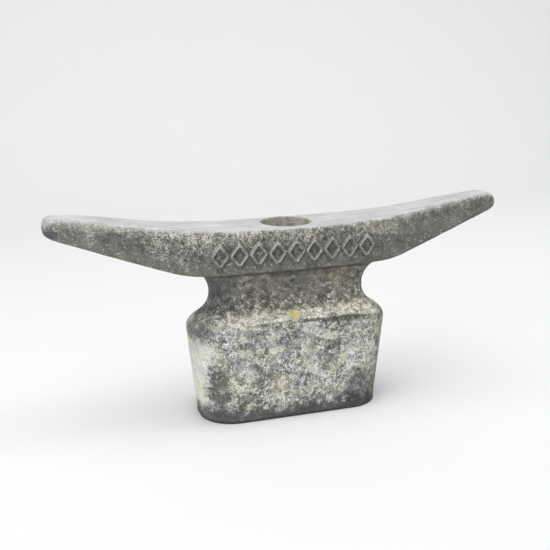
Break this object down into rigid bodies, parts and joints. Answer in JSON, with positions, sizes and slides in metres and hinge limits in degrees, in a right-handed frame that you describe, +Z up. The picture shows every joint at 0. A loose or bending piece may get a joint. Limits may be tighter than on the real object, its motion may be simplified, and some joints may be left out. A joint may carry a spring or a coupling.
{
  "type": "dock cleat",
  "caption": "Cast dock cleat: long tapered horn bar on a waisted neck and a deep block base, held down by a bolt in a top recess.",
  "frame": {"origin": "middle of the base's underside, on the bolt's axis, where the cleat meets the dock", "axes": "+X along the horn bar, +Y across it, +Z up through the bolt"},
  "size_m": [0.4, 0.0694, 0.1808],
  "materials": {
    "casting": "weathered sand casting",
    "stainless": "dull machined stainless steel",
    "nylon": "natural nylon"
  },
  "bodies": {
    "cleat": {"horn_casting": "casting", "isolating_bush": "nylon", "plate_washer": "stainless", "spring_washer": "stainless"},
    "bolt": {"hold_down_bolt": "stainless", "coupling_nut": "stainless", "nut_isolating_washer": "nylon"}
  },
  "joints": [
    {"name": "bolt_turn", "type": "hinge", "parent": "cleat", "child": "bolt", "pos_m": [0, 0, 0.1402], "axis": [0, 0, 1], "continuous": true}
  ]
}
